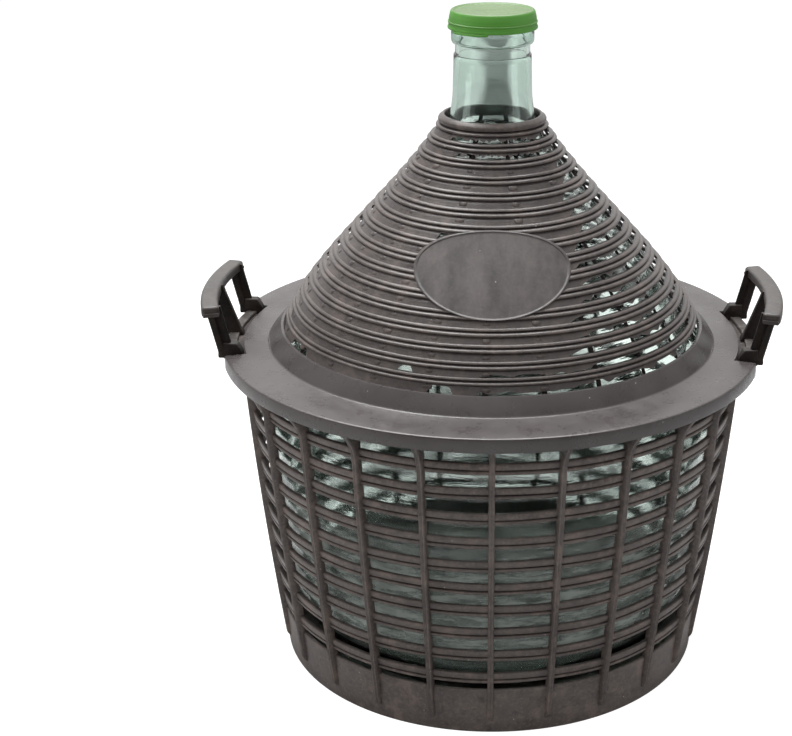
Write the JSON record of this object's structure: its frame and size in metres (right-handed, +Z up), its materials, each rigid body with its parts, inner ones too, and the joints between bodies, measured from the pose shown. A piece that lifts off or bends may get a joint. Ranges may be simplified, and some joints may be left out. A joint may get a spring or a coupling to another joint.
{
  "type": "demijohn",
  "caption": "Round-shouldered glass demijohn in a slatted plastic basket, with a ringed cone-shaped cover, side handles and a push-on cap.",
  "frame": {"origin": "centre of the foot ring on the floor", "axes": "+Z up along the bottle's axis, -Y towards the oval plate at the front, +X towards the right handle"},
  "size_m": [0.4214, 0.3936, 0.48],
  "materials": {
    "basket_plastic": "dark warm grey moulded polyethylene, scuffed",
    "cover_plastic": "dark warm grey moulded polyethylene, scuffed",
    "handle_plastic": "dark warm grey moulded polyethylene",
    "pale_green_glass": "clear glass with a pale blue-green tint",
    "green_plastic": "soft satin green polyethylene"
  },
  "bodies": {
    "basket_body": {"basket": "basket_plastic", "handle_right": "handle_plastic", "handle_left": "handle_plastic"},
    "bottle_body": {"bottle": "pale_green_glass"},
    "cover_body": {"cover": "cover_plastic"},
    "cap_body": {"cap": "green_plastic"}
  },
  "joints": [
    {"name": "bottle_lift", "type": "slide", "parent": "basket_body", "child": "bottle_body", "axis": [0, 0, 1], "range_m": [0, 0.3]},
    {"name": "cover_lift", "type": "slide", "parent": "bottle_body", "child": "cover_body", "axis": [0, 0, 1], "range_m": [0, 0.26]},
    {"name": "cap_lift", "type": "slide", "parent": "bottle_body", "child": "cap_body", "axis": [0, 0, 1], "range_m": [0, 0.06]}
  ]
}
